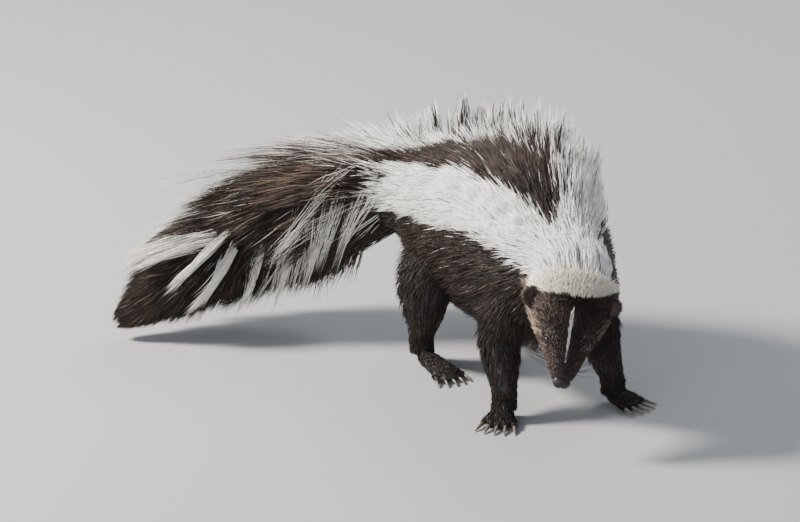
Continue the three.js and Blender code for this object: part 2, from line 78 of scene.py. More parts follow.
def station(x, y, z, wide, high, deep, coat):
    return (x, y, z, wide, high, deep, coat, 2.1, 0.0, 0.0)


SPINE = [
    head_station(6, 7, 5.5, 5.5, 0, 1), head_station(14, 10.5, 8.5, 8.5), head_station(24, 14, 11, 11, -1),
    head_station(36, 19.5, 15.5, 14, -3), head_station(48, 25, 20.5, 16.5, -3),
    head_station(62, 28.5, 23, 19, -3, 2.5), head_station(80, 27, 22, 22, -1, 6),
    station(66, -66, 119, 27, 22, 27, 10), station(58, -32, 106, 36, 36, 45, 17),
    station(45, 6, 104, 40, 49, 49, 20), station(26, 44, 108, 44, 53, 50, 22),
    station(0, 80, 112, 45, 46, 47, 22), station(-28, 108, 118, 34, 28, 34, 22),
    station(-52, 126, 121, 15, 13, 14, 24), station(-78, 137, 123, 9.5, 9, 9, 24),
    station(-112, 142, 119, 8.5, 8.5, 8.5, 24), station(-154, 142, 104, 8, 8, 8, 24),
    station(-196, 135, 80, 7, 7, 7, 24), station(-232, 125, 54, 6, 6, 6, 20),
    station(-258, 117, 34, 4, 4, 4, 12),
]
PLUME_START = 12
PLUME_SIZES = [
    (53, 48, 54), (39, 39, 38), (41, 42, 46), (43, 42, 66), (45, 44, 80),
    (43, 50, 70), (36, 48, 50), (27, 38, 28), (14, 20, 14), (3, 4, 3),
]
PLUME_PATH = [s[:3] for s in SPINE[PLUME_START:]] + [(-280, 111, 20), (-296, 108, 12)]


class Form:
    """Rings along a smooth path. turn runs from 0 at the top over the left side and round to 1."""

    def __init__(self, stations, across=None):
        self.table = np.array(stations, float)
        self.across = across

    def spline(self, where):
        table = self.table
        where = np.clip(where, 0, len(table) - 1 - 1e-9)
        index = np.floor(where).astype(int)
        w = (where - index)[:, None]
        ends = np.vstack([2 * table[0] - table[1], table, 2 * table[-1] - table[-2]])
        a, b, c, d = (ends[index + k] for k in range(4))
        start, stop = 0.5 * (c - a), 0.5 * (d - b)
        return b + start * w + (3 * (c - b) - 2 * start - stop) * w**2 + (2 * (b - c) + start + stop) * w**3

    def ring(self, where):
        row = self.spline(where)
        back = self.spline(where + 1e-3)[:, :3] - self.spline(where - 1e-3)[:, :3]
        back /= np.linalg.norm(back, axis=1, keepdims=True)
        if self.across is None:
            side = np.cross(back, [0.0, 0.0, 1.0])
        else:
            side = np.broadcast_to(self.across, back.shape).copy()
            side -= back * np.sum(side * back, axis=1, keepdims=True)
        side /= np.linalg.norm(side, axis=1, keepdims=True)
        over = np.cross(side, back)
        roll = 2 * np.pi * row[:, 9:]
        side, over = side * np.cos(roll) - over * np.sin(roll), over * np.cos(roll) + side * np.sin(roll)
        return row, back, side, over

    def speed(self, where):
        """Millimetres of path for each station"""
        ahead, behind = self.spline(where + 0.01), self.spline(where - 0.01)
        return np.linalg.norm(ahead[:, :3] - behind[:, :3], axis=1) / 0.02 + 1e-6

    def point(self, where, turn, cover=0.0):
        row, _, side, over = self.ring(where)
        wide, high, deep, coat, square, level = row[:, 3:9].T
        angle = 2 * np.pi * turn
        sine, cosine = np.sin(angle), np.cos(angle)
        across = (wide + coat * cover) * np.sign(sine) * np.abs(sine) ** (2 / square)
        reach = np.where(cosine > 0, high + coat * cover * CREST - level, deep + coat * cover + level)
        rise = level + reach * np.sign(cosine) * np.abs(cosine) ** (2 / square)
        return row[:, :3] + side * across[:, None] + over * rise[:, None]

    def out(self, where, turn):
        """Outward normals of the surface"""
        along = self.point(where + 0.01, turn) - self.point(where - 0.01, turn)
        round_ = self.point(where, turn + 0.004) - self.point(where, turn - 0.004)
        normal = np.cross(round_, along)
        centre = self.spline(where)[:, :3]
        away = np.sum(normal * (self.point(where, turn) - centre), axis=1)
        normal *= np.sign(away)[:, None]
        return normal / (np.linalg.norm(normal, axis=1, keepdims=True) + 1e-9)


def leg_station(x, y, z, wide, high, deep, coat=3):
    return (x, y, z, wide, high, deep, coat, 2.1, 0.0, 0.0)


LEGS = {
    "front_right": (-104, [
        leg_station(34, -34, 96, 13, 20, 18), leg_station(22, -42, 78, 16, 20, 17),
        leg_station(15, -44, 60, 15, 17, 15), leg_station(16, -53, 42, 12, 12, 11),
        leg_station(18, -62, 24, 9, 8, 8), leg_station(18.5, -65, 8, 9, 7, 8, 2),
    ]),
    "front_left": (-36, [
        leg_station(72, -18, 96, 13, 20, 18), leg_station(86, -20, 76, 15, 19, 16),
        leg_station(93, -22, 58, 14, 16, 14), leg_station(98, -27, 40, 11, 12, 11),
        leg_station(103, -30, 24, 9, 8, 8), leg_station(104, -31, 8, 9, 7, 8, 2),
    ]),
    "hind_right": (-62, [
        leg_station(-22, 66, 104, 15, 26, 24), leg_station(-36, 54, 84, 19, 27, 24),
        leg_station(-42, 46, 62, 17, 22, 19), leg_station(-43, 50, 42, 13, 15, 14),
        leg_station(-45, 56, 24, 9, 9, 9), leg_station(-45, 56, 9, 9, 8, 9, 2),
    ]),
    "hind_left": (-58, [
        leg_station(22, 98, 102, 15, 26, 24), leg_station(34, 104, 82, 19, 27, 24),
        leg_station(38, 108, 62, 17, 22, 19), leg_station(34, 118, 42, 13, 15, 14),
        leg_station(27, 130, 24, 9, 9, 9), leg_station(25, 132, 9, 9, 8, 9, 2),
    ]),
}


def heading_vector(degrees):
    return np.array([math.cos(math.radians(degrees)), math.sin(math.radians(degrees)), 0.0])


spine = Form(SPINE)
plume = Form([(*at, *size, 0, 2.1, 0, 0) for at, size in zip(PLUME_PATH, PLUME_SIZES)])
limbs = {name: Form(rows, heading_vector(heading + 90)) for name, (heading, rows) in LEGS.items()}


# ---- Camera, lights and floor ----
CAMERA_TARGET = np.array([-62.4, 0.0, 107.1])
CAMERA_DISTANCE = 3500.0
CAMERA_ELEVATION = 20
MM_PER_PIXEL = 0.78


def add_camera():
    data = bpy.data.cameras.new("camera")
    data.sensor_width = 36
    data.lens = 36 * (CAMERA_DISTANCE / MM_PER_PIXEL) / 800
    data.clip_end = 50
    camera = bpy.data.objects.new("camera", data)
    tilt = math.radians(CAMERA_ELEVATION)
    back = np.array([0.0, -math.cos(tilt), math.sin(tilt)])
    camera.location = metres(CAMERA_TARGET + CAMERA_DISTANCE * back)
    camera.rotation_euler = (math.radians(90 - CAMERA_ELEVATION), 0, 0)
    bpy.context.scene.collection.objects.link(camera)
    bpy.context.scene.camera = camera


def add_area(name, at, target, size, power, colour):
    data = bpy.data.lights.new(name, "AREA")
    data.shape = "DISK"
    data.size = size
    data.energy = power
    data.color = colour
    lamp = bpy.data.objects.new(name, data)
    lamp.location = at
    lamp.rotation_euler = (Vector(target) - Vector(at)).to_track_quat("-Z", "Y").to_euler()
    bpy.context.scene.collection.objects.link(lamp)


def add_studio():
    world = bpy.data.worlds.new("studio")
    world.use_nodes = True
    background = world.node_tree.nodes["Background"]
    background.inputs["Color"].default_value = (0.74, 0.82, 0.94, 1)
    background.inputs["Strength"].default_value = 0.52
    bpy.context.scene.world = world
    middle = (0.0, 0.0, 0.1)
    add_area("key", (-1.6, 0.15, 1.45), middle, 0.5, 128, (1.0, 0.96, 0.90))
    add_area("back", (0.9, 1.5, 1.6), middle, 0.9, 18, (0.92, 0.96, 1.0))
    add_area("fill", (-0.9, -2.2, 0.8), middle, 1.6, 24, (0.97, 0.98, 1.0))

    floor_mesh = bpy.data.meshes.new("floor")
    reach = 30
    floor_mesh.from_pydata(
        [(-reach, -reach, 0), (reach, -reach, 0), (reach, reach, 0), (-reach, reach, 0)], [], [(0, 1, 2, 3)],
    )
    floor = bpy.data.objects.new("floor", floor_mesh)
    bpy.context.scene.collection.objects.link(floor)
    material = bpy.data.materials.new("floor")
    material.use_nodes = True
    shader = material.node_tree.nodes["Principled BSDF"]
    shader.inputs["Base Color"].default_value = (0.41, 0.41, 0.40, 1)
    shader.inputs["Roughness"].default_value = 0.8
    floor_mesh.materials.append(material)


# ---- Materials ----
def new_material(name, **values):
    material = bpy.data.materials.new(name)
    material.use_nodes = True
    shader = material.node_tree.nodes["Principled BSDF"]
    for socket, value in values.items():
        shader.inputs[socket.replace("_", " ")].default_value = value
    return material, material.node_tree.nodes, material.node_tree.links, shader


def add_bump(nodes, links, shader, scale, strength, distance, stretch=(1, 1, 1), detail=4):
    """Fine relief from noise in the piece's own space"""
    place = nodes.new("ShaderNodeTexCoord")
    mapping = nodes.new("ShaderNodeMapping")
    mapping.inputs["Scale"].default_value = stretch
    noise = nodes.new("ShaderNodeTexNoise")
    noise.inputs["Scale"].default_value = scale
    noise.inputs["Detail"].default_value = detail
    bump = nodes.new("ShaderNodeBump")
    bump.inputs["Strength"].default_value = strength
    bump.inputs["Distance"].default_value = distance
    links.new(place.outputs["Object"], mapping.inputs["Vector"])
    links.new(mapping.outputs["Vector"], noise.inputs["Vector"])
    links.new(noise.outputs["Fac"], bump.inputs["Height"])
    links.new(bump.outputs["Normal"], shader.inputs["Normal"])
    return noise


def painted_material(name, roughness, bump_scale, bump_strength, bump_distance, **values):
    """Base colour from the piece's own colour attribute, broken up by noise"""
    material, nodes, links, shader = new_material(name, Roughness=roughness, **values)
    noise = add_bump(nodes, links, shader, bump_scale, bump_strength, bump_distance)
    colour = nodes.new("ShaderNodeAttribute")
    colour.attribute_name = "coat_colour"
    ramp = nodes.new("ShaderNodeMapRange")
    ramp.inputs["From Min"].default_value = 0.3
    ramp.inputs["From Max"].default_value = 0.7
    ramp.inputs["To Min"].default_value = 0.8
    ramp.inputs["To Max"].default_value = 1.12
    tint = nodes.new("ShaderNodeVectorMath")
    tint.operation = "SCALE"
    links.new(noise.outputs["Fac"], ramp.inputs["Value"])
    links.new(colour.outputs["Color"], tint.inputs[0])
    links.new(ramp.outputs["Result"], tint.inputs["Scale"])
    links.new(tint.outputs["Vector"], shader.inputs["Base Color"])
    return material


skin_material = painted_material("skin", 0.6, 900, 0.5, 0.0006)
coat_material = painted_material("coat", 0.5, 260, 0.15, 0.0003)
coat_material.node_tree.nodes["Principled BSDF"].inputs["Specular IOR Level"].default_value = 0.28


# ---- Colours of the coat, linear ----
BLACK_ROOT = np.array([0.014, 0.010, 0.009])
BLACK_TIP = np.array([0.026, 0.018, 0.015])
BROWN_TIP = np.array([0.058, 0.036, 0.029])
WHITE_ROOT = np.array([0.68, 0.65, 0.61])
WHITE_TIP = np.array([0.93, 0.915, 0.88])
CREAM_TIP = np.array([0.90, 0.82, 0.68])
PALE_BROWN = np.array([0.30, 0.22, 0.17])
TAWNY = np.array([0.34, 0.24, 0.15])
EAR_INSIDE = np.array([0.060, 0.034, 0.025])
PAW_SKIN = np.array([0.03, 0.022, 0.02])


def smooth(edge_low, edge_high, value):
    share = np.clip((value - edge_low) / (edge_high - edge_low), 0, 1)
    return share * share * (3 - 2 * share)


def wave(points, length, seed):
    """Smooth noise between -1 and 1 over space, from a few crossing waves"""
    random = np.random.default_rng(seed)
    total = np.zeros(len(points))
    for _ in range(7):
        direction = random.normal(size=3)
        direction *= 2 * np.pi / (length * random.uniform(0.6, 1.6) * np.linalg.norm(direction))
        total += np.sin(points @ direction + random.uniform(0, 6.3))
    return total / 3.2


# Edges of the white and of the dark patch of the back, as station and turn
PATCH_RIGHT = np.array([
    (6.9, -0.040), (7.1, -0.036), (7.8, -0.036), (8.9, -0.069), (9.8, -0.092), (11.5, -0.100), (13.2, -0.100),
])
PATCH_LEFT = np.array([
    (6.9, -0.036), (7.1, -0.030), (8.0, 0.017), (8.9, 0.031), (9.6, 0.033), (10.4, 0.020), (11.9, 0.008),
    (12.6, -0.02), (13.5, -0.03),
])
WHITE_RIGHT = np.array([
    (5.5, -0.235), (6.6, -0.228), (7.4, -0.200), (7.9, -0.170), (9.1, -0.181), (10.4, -0.206), (11.5, -0.214),
    (13.1, -0.283), (14.4, -0.30),
])
WHITE_LEFT = np.array([
    (5.5, 0.200), (6.2, 0.170), (6.9, 0.138), (8.5, 0.138), (9.5, 0.130), (11.0, 0.125), (13.1, 0.14), (14.4, 0.14),
])
# Where the white cap starts on the back of the head, as turn and station
CAP_START = np.array([(-0.25, 5.5), (-0.1, 5.24), (0.0, 5.22), (0.09, 5.3), (0.16, 5.55), (0.25, 5.8)])


def edge_at(table, where):
    return np.interp(where, table[:, 0], table[:, 1])


def signed_turn(turn):
    return (np.asarray(turn) + 0.5) % 1 - 0.5


def white_share(where, turn, points):
    """How white the coat is at a place on the spine's form, from 0 to 1"""
    turn = signed_turn(turn)
    ragged = 0.006 * wave(points, 9, 5)
    blur = 0.006
    right, left = edge_at(WHITE_RIGHT, where) + ragged, edge_at(WHITE_LEFT, where) + ragged
    patch_right, patch_left = edge_at(PATCH_RIGHT, where) + ragged, edge_at(PATCH_LEFT, where) + ragged
    band = smooth(right - blur, right + blur, turn) * smooth(left + blur, left - blur, turn)
    patch = smooth(patch_right - blur, patch_right + blur, turn) * smooth(patch_left + blur, patch_left - blur, turn)
    patch *= smooth(6.85, 6.95, where)
    start = np.interp(turn, CAP_START[:, 0], CAP_START[:, 1])
    behind = smooth(start - 0.03, start + 0.05, where + 0.03 * wave(points, 6, 8))
    last = np.where(turn < 0, 13.8, 14.3) + 0.4 * wave(points, 12, 9)
    return band * (1 - patch) * behind * smooth(last + 0.25, last - 0.25, where)


BLAZE_FROM, BLAZE_TO = 1.25, 4.7
BLAZE_HALF_WIDTH = 1.0


def blaze_share(where, turn):
    """The thin white line down the forehead"""
    arc = np.abs(signed_turn(turn)) * 2 * np.pi * spine.spline(where)[:, 3]
    half = BLAZE_HALF_WIDTH * smooth(BLAZE_FROM - 0.5, BLAZE_FROM + 2.2, where) * smooth(BLAZE_TO, BLAZE_TO - 0.8, where)
    return (arc < half) * (where > BLAZE_FROM) * (where < BLAZE_TO)


def mixed(dark, light, share):
    return dark + (light - dark) * np.asarray(share)[:, None]


# ---- Tufts ----
class Coat:
    """Tapered, bent tufts of three sides, gathered and then made into one mesh"""
    STRAND = ((0.0, 0.2, 0.4, 0.6, 0.8), (0.8, 1.0, 0.95, 0.8, 0.5))
    LONG = ((0.0, 0.36, 0.72), (0.8, 1.0, 0.62))
    SHORT = ((0.0, 0.55), (0.9, 0.8))

    def __init__(self, kind=LONG):
        self.shares, self.widths = kind
        self.parts = []

    def add(self, root, tip, out, width, dark, light, uv, bow=0.18, sway=0.02):
        reach = np.linalg.norm(tip - root, axis=1, keepdims=True)
        knee = root + (tip - root) * 0.42 + out * reach * bow
        along = (tip - root) / (reach + 1e-9)
        side = np.cross(along, out)
        side /= np.linalg.norm(side, axis=1, keepdims=True) + 1e-9
        ridge = np.cross(side, along)
        spin = RANDOM.uniform(-0.9, 0.9, len(root))[:, None]
        side, ridge = side * np.cos(spin) + ridge * np.sin(spin), ridge * np.cos(spin) - side * np.sin(spin)
        swing = side * reach * (sway * RANDOM.normal(size=len(root)))[:, None]
        rows, colours = [], []
        for share, swell in zip(self.shares, self.widths):
            centre = root * (1 - share) ** 2 + knee * 2 * share * (1 - share) + tip * share**2
            centre = centre + swing * math.sin(2 * math.pi * share)
            half = (width * swell / 2)[:, None]
            rows += [centre - side * half, centre + side * half, centre + ridge * half * 0.9]
            colours += [dark + (light - dark) * min(1, share * 1.15)] * 3
        rows.append(tip)
        colours.append(light)
        self.parts.append((np.stack(rows, 1), np.stack(colours, 1), uv))

    def build(self, name, pieces, nodes):
        """One object for each share of the tufts, so that each stays small"""
        rows = np.concatenate([part[0] for part in self.parts])
        colours = np.concatenate([part[1] for part in self.parts])
        uv = np.concatenate([part[2] for part in self.parts])
        order = RANDOM.permutation(len(rows))
        for index in range(pieces):
            chosen = order[index::pieces]
            label = name if pieces == 1 else f"{name}_{index + 1}"
            piece = self.mesh(label, rows[chosen], colours[chosen], uv[chosen])
            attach(piece, "root")
            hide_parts(*nodes)

    def mesh(self, name, rows, colours, uv):
        count, each, _ = rows.shape
        rings = len(self.shares)
        sides, across = [], []
        for ring in range(rings - 1):
            for k in range(3):
                a, b = 3 * ring + k, 3 * ring + (k + 1) % 3
                sides.append((a, b, b + 3, a + 3))
                across += [k, k + 1, k + 1, k]
        top = 3 * (rings - 1)
        points = [(top + k, top + (k + 1) % 3, each - 1) for k in range(3)]
        for k in range(3):
            across += [k, k + 1, k + 0.5]
        pattern = np.array([i for side in sides for i in side] + [i for point in points for i in point])
        totals = np.tile(np.array([4] * len(sides) + [3] * len(points)), count)
        corners = (np.arange(count)[:, None] * each + pattern).ravel()
        mesh = bpy.data.meshes.new(name)
        mesh.vertices.add(count * each)
        mesh.vertices.foreach_set("co", metres(rows.reshape(-1, 3)).ravel())
        mesh.loops.add(len(corners))
        mesh.loops.foreach_set("vertex_index", corners.astype(np.int32))
        mesh.polygons.add(len(totals))
        starts = np.concatenate([[0], np.cumsum(totals)[:-1]])
        mesh.polygons.foreach_set("loop_start", starts.astype(np.int32))
        mesh.update(calc_edges=True)
        mesh.polygons.foreach_set("use_smooth", np.ones(len(totals), bool))
        paint(mesh, colours.reshape(-1, 3))
        # Each tuft is a small patch at its root's place: round the tuft is x, and root to tip is y
        level = np.array([share for share in self.shares for _ in range(3)] + [1.0])
        patch = np.stack([np.array(across) / 3, level[pattern]], 1) * 0.003
        layer = mesh.uv_layers.new(name="OFBake")
        layer.uv.foreach_set("vector", (uv[:, None, :] + patch[None]).astype(np.float32).ravel())
        mesh.materials.append(coat_material)
        piece = bpy.data.objects.new(name, mesh)
        bpy.context.scene.collection.objects.link(piece)
        return piece


def paint(mesh, colours):
    layer = mesh.color_attributes.new(name="coat_colour", type="FLOAT_COLOR", domain="POINT")
    full = np.ones((len(mesh.vertices), 4), np.float32)
    full[:, :3] = colours
    layer.data.foreach_set("color", full.ravel())


def spread_over(form, start, stop, count):
    """Random places on a form, even over its surface"""
    grid = np.linspace(start, stop, 200)
    middle = (grid[1:] + grid[:-1]) / 2
    weight = form.speed(middle) * form.spline(middle)[:, 3:6].mean(axis=1)
    row = RANDOM.choice(len(middle), size=count, p=weight / weight.sum())
    where = grid[row] + RANDOM.random(count) * (grid[1] - grid[0])
    return where, RANDOM.random(count)


def clumped(root, tip, spacing, pull, seed, each=22):
    """Draw tips together round guide tufts, so that the coat falls in locks"""
    random = np.random.default_rng(seed)
    count = max(8, int(len(root) / each))
    guides = random.choice(len(root), size=count, replace=False)
    tree = KDTree(count)
    for index, guide in enumerate(guides):
        tree.insert(Vector(root[guide]), index)
    tree.balance()
    found = np.array([tree.find(Vector(place))[1] for place in root])
    leader = guides[found]
    gap = np.linalg.norm(root - root[leader], axis=1)
    share = (pull * (gap < spacing))[:, None] * random.uniform(0.5, 1.0, (len(root), 1))
    return tip + (tip[leader] - tip) * share


# Above the first of these heights the spikes of the crest even out, and all end below the second
EVEN_CREST, TOP_OF_CREST = 205.0, 219.0
AMOUNT = 1.0
FATTEN = 1.0


def shaded(colour, spread):
    return colour * RANDOM.uniform(1 - spread, 1 + spread, (len(colour), 1))


def trunk_coat(count):
    coat = Coat()
    where, turn = spread_over(spine, 5.75, 13.5, int(count * AMOUNT))
    signed = signed_turn(turn)
    keep = (np.abs(signed) < 0.4) | (RANDOM.random(len(turn)) < 0.5)
    where, turn, signed = where[keep], turn[keep], signed[keep]
    total = len(where)
    root = spine.point(where, turn, -0.04)
    out = spine.out(where, turn)
    noise = wave(root, 26, 2)
    length = np.interp(where, [5.7, 6.5, 7.5, 9, 11, 13.5], [13, 20, 30, 40, 48, 60])
    length *= np.where(np.abs(signed) > 0.4, 0.6, 1.0) * RANDOM.uniform(0.65, 1.15, total) * (1 + 0.1 * noise)
    crest = smooth(0.005, 0.045, signed) * smooth(0.16, 0.12, signed) * smooth(6.9, 8.6, where)
    crest *= 1 - 0.3 * smooth(12.4, 13.4, where)
    cover = RANDOM.uniform(0.55, 1.02, total) * (1 - 0.05 * noise)
    cover += crest * (0.25 + 0.9 * RANDOM.random(total) ** 0.6 * (1 + 0.4 * wave(root, 13, 4)))
    sink = (0.06 * np.sin(2 * np.pi * turn) * (1 - crest) + 0.012 * wave(root, 15, 3)) * length / 45
    sink += 0.010 * RANDOM.normal(size=total)
    travel = length * (1 - 0.62 * crest) / spine.speed(where)
    tip = spine.point(np.minimum(where + travel, 15.5), turn + sink, cover)
    tip = clumped(root, tip, 14, 0.55 + 0.4 * crest, 6, 22)
    over = np.maximum(tip[:, 2] - EVEN_CREST, 0)
    tip[:, 2] -= over - (TOP_OF_CREST - EVEN_CREST) * (1 - np.exp(-over / 14))
    white = white_share(where + 0.55 * travel, turn + 0.55 * sink, root)
    is_white = white > RANDOM.random(total) * 0.6 + 0.2
    is_white ^= RANDOM.random(total) < 0.006
    is_white &= RANDOM.random(total) > 0.4 * smooth(0.085, 0.03, signed) * smooth(0.0, 0.02, signed) * crest
    brown = 0.1 + 0.3 * wave(root, 60, 12) + 0.45 * RANDOM.random(total)
    dark_tip = mixed(BLACK_TIP, BROWN_TIP, np.clip(brown, 0, 1) * smooth(0.55, 0.0, np.abs(signed)))
    # Single pale hairs of the dark coat, partly its own grizzled hairs and partly a painted sheen where hairs catch
    # the light, most of all on the rump
    pale = RANDOM.random(total) < 0.035 + 0.05 * smooth(10, 12, where) * smooth(0.15, 0.3, np.abs(signed))
    dark_tip = np.where(pale[:, None], PALE_BROWN, dark_tip)
    root_colour = np.where(is_white[:, None], WHITE_ROOT, BLACK_ROOT)
    tip_colour = shaded(np.where(is_white[:, None], WHITE_TIP, dark_tip), 0.13)
    width = RANDOM.uniform(0.8, 1.5, total) * np.where(pale, 0.6, 1) * FATTEN
    uv = np.stack([turn * 0.99, (where - 5.7) / 8], 1)
    coat.add(root, tip, out, width, root_colour, tip_colour, uv, bow=0.2, sway=0.025)
    return coat


# White locks of the tail: start and end as station and turn on the plume, how many strands, how far
# apart they are, how fine they are and how far their tips stand off the plume
WHITE_LOCKS = [
    ((17.5, -0.125), (20.0, 0.03), 90, 0.013, 0.75, 0.75), ((17.6, -0.15), (19.8, -0.03), 60, 0.010, 0.75, 0.5),
    ((17.7, -0.10), (19.5, 0.045), 50, 0.018, 0.55, 0.6), ((17.3, -0.182), (18.95, -0.218), 120, 0.007, 0.75, 0.05),
    ((17.35, -0.245), (18.95, -0.33), 150, 0.009, 0.8, 0.1), ((16.9, -0.285), (17.95, -0.395), 60, 0.005, 0.65, 0.15),
    ((16.2, -0.29), (17.35, -0.405), 50, 0.005, 0.6, 0.18), ((15.6, -0.295), (16.7, -0.39), 44, 0.005, 0.6, 0.15),
    ((15.3, -0.25), (17.0, -0.33), 25, 0.04, 0.4, 0.05), ((14.7, -0.12), (16.0, -0.30), 14, 0.04, 0.4, 0.05),
    ((13.8, -0.03), (15.7, 0.05), 50, 0.03, 0.6, 0.2),
    # Wisps that stand off the upper edge
    ((15.9, 0.0), (18.0, 0.0), 34, 0.006, 0.6, 0.95), ((16.5, 0.0), (18.4, 0.0), 20, 0.006, 0.6, 0.7),
    ((17.2, -0.02), (18.9, 0.01), 12, 0.02, 0.45, 0.5),
    # The side that the photograph doesn't show
    ((16.9, 0.18), (18.8, 0.22), 120, 0.007, 0.8, 0.05), ((17.1, 0.25), (18.7, 0.34), 120, 0.007, 0.8, 0.1),
    ((16.2, 0.28), (17.5, 0.40), 80, 0.008, 0.7, 0.12), ((14.5, 0.22), (16.5, 0.38), 45, 0.03, 0.45, 0.1),
    ((17.4, 0.12), (19.7, 0.09), 110, 0.012, 0.8, 0.3), ((15.2, 0.25), (16.8, 0.37), 60, 0.012, 0.6, 0.1),
    ((14.1, 0.22), (15.6, 0.34), 45, 0.03, 0.45, 0.1),
]
# Fine wisps over the dark of the tail, between its root's white and its lower edge
WISPS = 24
WISP_START = np.array([(13.95, -0.235), (16.5, -0.265)])
WISP_STOP = np.array([(15.3, -0.36), (17.75, -0.41)])
# Hair leaves the sides of the tail towards its upper and lower edges
FAN = np.array([(0, 0), (0.08, -0.05), (0.15, -0.03), (0.2, 0.04), (0.27, 0.09), (0.36, 0.08), (0.45, 0.02), (0.5, 0)])
FLOOR_CLEARANCE = 1.0


def above_floor(points):
    points[:, 2] = np.maximum(points[:, 2], FLOOR_CLEARANCE)
    return points


def plume_point(where, turn, inward):
    """A place at a share of the way in from the surface of the plume to its path"""
    local = where - PLUME_START
    surface = plume.point(local, turn)
    centre = plume.spline(local)[:, :3]
    return surface + (centre - surface) * np.asarray(inward)[:, None]


def tail_coat(count):
    coat = Coat()
    total = int(count * AMOUNT)
    where = RANDOM.uniform(12.7, 19, total)
    turn = RANDOM.random(total)
    signed = signed_turn(turn)
    root = spine.point(where, turn, 0.0)
    out = spine.out(where, turn)
    reach = 82 * RANDOM.uniform(0.35, 1.15, total) ** 0.9
    local = where - PLUME_START
    tip_at = local + reach / plume.speed(local)
    over = np.maximum(tip_at - 7.9, 0)
    tip_at += (1 - np.exp(-2.5 * over)) * RANDOM.uniform(0.6, 1.09, total) - over
    fan = np.sign(signed) * np.interp(np.abs(signed), FAN[:, 0], FAN[:, 1])
    swing = fan + 0.035 * wave(root, 22, 15) + 0.02 * RANDOM.normal(size=total)
    inward = RANDOM.random(total) * 0.5 + 0.04 * wave(root, 9, 19)
    # The erect fringe of the left stripe runs out on the top of the tail
    fringe = smooth(15.4, 13.6, where) * smooth(-0.04, 0.03, signed) * smooth(0.18, 0.12, signed)
    inward -= fringe * RANDOM.uniform(0.0, 0.55, total)
    # Past the root its outline is ragged all along
    inward -= 0.3 * RANDOM.random(total) ** 5 * smooth(13.2, 14.4, where)
    tip = plume_point(tip_at + PLUME_START, turn + swing, inward)
    tip = above_floor(clumped(root, tip, 12, 0.8, 16, 36))
    white = white_share(where + 0.25 * reach / plume.speed(local), turn, root)
    upper_left = smooth(15.6, 14.0, where) * smooth(-0.03, 0.03, signed) * smooth(0.2, 0.12, signed)
    is_white = RANDOM.random(total) < (0.1 + 0.55 * smooth(13.2, 12.75, where)) * white + 0.012 + 0.3 * upper_left
    tawny = smooth(-0.17, -0.10, signed) * smooth(0.0, -0.06, signed) * smooth(12.9, 13.6, where)
    tawny *= smooth(15.0, 14.0, where)
    dark_tip = mixed(BLACK_TIP, BROWN_TIP, np.clip(0.25 + 0.35 * wave(root, 40, 17), 0, 1))
    dark_tip = mixed(dark_tip, TAWNY, tawny * RANDOM.random(total) * 0.45)
    pale = RANDOM.random(total) < 0.07 + 0.04 * smooth(16.5, 14.5, where)
    dark_tip = np.where(pale[:, None], PALE_BROWN, dark_tip)
    root_colour = np.where(is_white[:, None], WHITE_ROOT, BLACK_ROOT)
    tip_colour = shaded(np.where(is_white[:, None], WHITE_TIP * 0.93, dark_tip), 0.17)
    width = RANDOM.uniform(0.8, 1.5, total) * np.where(pale | is_white, 0.6, 1) * FATTEN
    uv = np.stack([turn * 0.99, (where - 12.4) / 7], 1)
    coat.add(root, tip, out, width, root_colour, tip_colour, uv, bow=0.14, sway=0.02)
    return coat


def tail_locks():
    coat = Coat(Coat.STRAND)
    for lock in WHITE_LOCKS:
        add_white_lock(coat, *lock)
    for index in range(WISPS):
        share = (index + RANDOM.random()) / WISPS
        start = WISP_START[0] + (WISP_START[1] - WISP_START[0]) * share + RANDOM.normal(size=2) * [0.15, 0.012]
        stop = WISP_STOP[0] + (WISP_STOP[1] - WISP_STOP[0]) * share + RANDOM.normal(size=2) * [0.15, 0.012]
        add_white_lock(coat, start, stop, int(RANDOM.uniform(4, 10)), 0.0018, RANDOM.uniform(0.38, 0.55), 0.16)
    return coat


def add_white_lock(coat, start, stop, amount, spread, fineness, proud):
    """Strands in bundles that draw to points, with a few that stray"""
    amount = max(3, int(amount * AMOUNT))
    (start_at, start_turn), (stop_at, stop_turn) = start, stop
    bundles = 1 + amount // 16
    bundle = RANDOM.integers(bundles, size=amount)
    stop_short = 0.34 * RANDOM.random(bundles)[bundle]
    aside = spread * RANDOM.normal(size=bundles)[bundle]
    along = RANDOM.random(amount)
    begin = start_at - 0.3 + 0.45 * along
    # Roots of a thick lock lie along its way, and those of a fine wisp lie together
    drift = 0.3 * min(1, spread / 0.006) * (along - 0.6)
    begin_turn = start_turn + (stop_turn - start_turn) * drift + spread * RANDOM.normal(size=amount)
    share = 1 - stop_short - 0.22 * RANDOM.random(amount) ** 1.5
    end = start_at + (stop_at - start_at) * share
    stray = spread * np.where(RANDOM.random(amount) < 0.16, 1.8, 0.18)
    end_turn = start_turn + (stop_turn - start_turn) * share + aside + stray * RANDOM.normal(size=amount)
    first = plume_point(begin, begin_turn, RANDOM.uniform(0.22, 0.38, amount))
    lift = proud * share**3 * RANDOM.uniform(0.75, 1.1, amount)
    last = above_floor(plume_point(end, end_turn, RANDOM.uniform(-0.03, 0.06, amount) - lift))
    halfway = plume_point((begin + end) / 2, (begin_turn + end_turn) / 2, np.zeros(amount))
    away = halfway - plume.spline((begin + end) / 2 - PLUME_START)[:, :3]
    away /= np.linalg.norm(away, axis=1, keepdims=True)
    width = RANDOM.uniform(0.6, 1.15, amount) * fineness * FATTEN
    place = np.stack([begin_turn % 1 * 0.99, (begin - 12.4) / 7], 1)
    tip_colour = shaded(np.broadcast_to(CREAM_TIP * 0.4 + WHITE_TIP * 0.6, (amount, 3)), 0.1)
    coat.add(
        first, last, away, width, np.broadcast_to(WHITE_ROOT * 0.95, (amount, 3)), tip_colour, place,
        bow=0.15, sway=0.012,
    )


